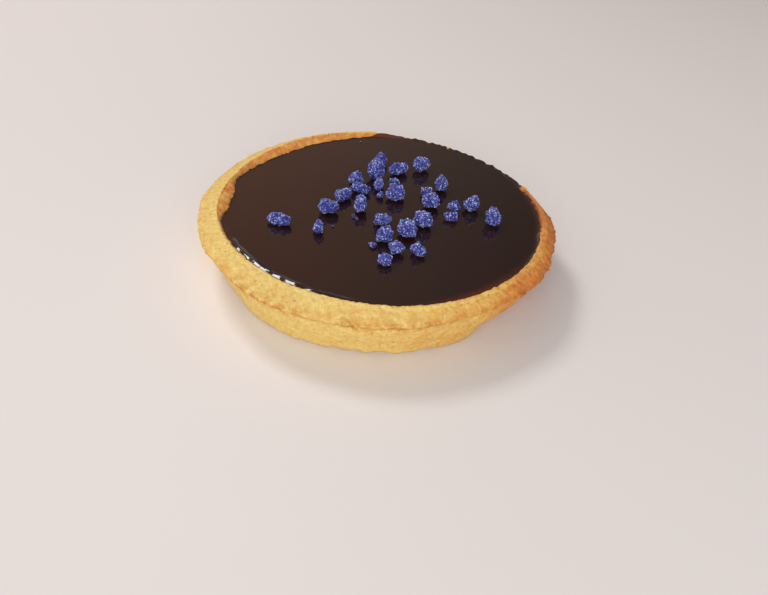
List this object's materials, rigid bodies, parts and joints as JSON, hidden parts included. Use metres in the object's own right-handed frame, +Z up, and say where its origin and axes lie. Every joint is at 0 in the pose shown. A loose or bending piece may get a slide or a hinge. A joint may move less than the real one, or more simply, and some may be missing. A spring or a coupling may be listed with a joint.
{
  "type": "chocolate tart",
  "caption": "Individual round chocolate tart: a golden shortcrust shell filled with glossy dark chocolate and scattered with crystallised violet sugar.",
  "frame": {"origin": "centre of the shell's flat underside, on the surface it stands on", "axes": "+Z up along the shell's axis; +Y towards the back of the tart as first seen, +X to its right"},
  "size_m": [0.0995, 0.0996, 0.0208],
  "materials": {
    "shortcrust": "matte, finely sandy",
    "chocolate": "mirror gloss",
    "violet_sugar": "crystalline"
  },
  "bodies": {
    "root": {"crust": "shortcrust", "filling": "chocolate", "violet_01": "violet_sugar", "violet_02": "violet_sugar", "violet_03": "violet_sugar", "violet_04": "violet_sugar", "violet_05": "violet_sugar", "violet_06": "violet_sugar", "violet_07": "violet_sugar", "violet_08": "violet_sugar", "violet_09": "violet_sugar", "violet_10": "violet_sugar", "violet_11": "violet_sugar", "violet_12": "violet_sugar", "violet_13": "violet_sugar", "violet_14": "violet_sugar", "violet_15": "violet_sugar", "violet_16": "violet_sugar", "violet_17": "violet_sugar", "violet_18": "violet_sugar", "violet_19": "violet_sugar", "violet_20": "violet_sugar", "violet_21": "violet_sugar", "violet_22": "violet_sugar", "violet_23": "violet_sugar", "violet_24": "violet_sugar", "violet_25": "violet_sugar", "violet_26": "violet_sugar", "violet_27": "violet_sugar", "violet_28": "violet_sugar", "violet_29": "violet_sugar"}
  },
  "joints": []
}
